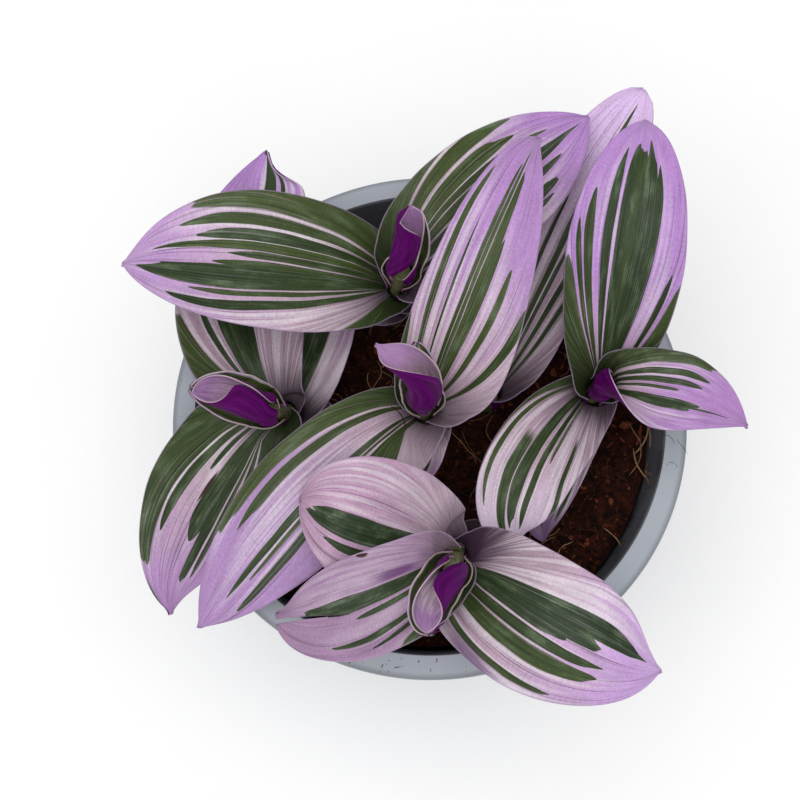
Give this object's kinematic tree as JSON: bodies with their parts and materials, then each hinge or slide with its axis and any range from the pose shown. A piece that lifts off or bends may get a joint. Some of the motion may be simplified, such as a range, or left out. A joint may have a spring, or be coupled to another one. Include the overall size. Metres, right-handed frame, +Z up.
{
  "type": "potted tradescantia",
  "caption": "Leafy trailing house plant with pointed leaves striped green and lavender, purple underneath, in a round grey plastic nursery pot of soil.",
  "frame": {"origin": "centre of the pot's underside, on the plane it stands on", "axes": "+Z up along the pot's axis; +X towards the right shoot; -Y towards the front shoot"},
  "size_m": [0.1418, 0.1457, 0.1449],
  "materials": {
    "pot": "grey moulded polypropylene, slightly glossy, a little scuffed",
    "soil": "damp brown coir soil, crumbly and dull",
    "stem": "soft green plant stem",
    "leaf": "soft leaf, green and lavender stripes with a fine sheen, vivid purple underneath",
    "bud": "rolled young leaf, vivid purple outside, green and lavender inside"
  },
  "bodies": {
    "root": {"pot": "pot", "soil": "soil", "stem_back": "stem", "leaf_back_1": "leaf", "leaf_back_2": "leaf", "leaf_back_3": "leaf", "leaf_back_4": "leaf", "bud_back_outer": "bud", "bud_back_inner": "bud", "stem_left": "stem", "leaf_left_1": "leaf", "leaf_left_2": "leaf", "leaf_left_3": "leaf", "leaf_left_4": "leaf", "bud_left_outer": "bud", "bud_left_inner": "bud", "stem_middle": "stem", "leaf_middle_1": "leaf", "leaf_middle_2": "leaf", "leaf_middle_3": "leaf", "bud_middle_outer": "bud", "bud_middle_inner": "bud", "stem_front": "stem", "leaf_front_1": "leaf", "leaf_front_2": "leaf", "leaf_front_3": "leaf", "leaf_front_4": "leaf", "leaf_front_5": "leaf", "bud_front_outer": "bud", "bud_front_inner": "bud", "stem_right": "stem", "leaf_right_1": "leaf", "leaf_right_2": "leaf", "leaf_right_3": "leaf", "leaf_right_4": "leaf", "stem_short": "stem", "leaf_short_1": "leaf"}
  },
  "joints": []
}
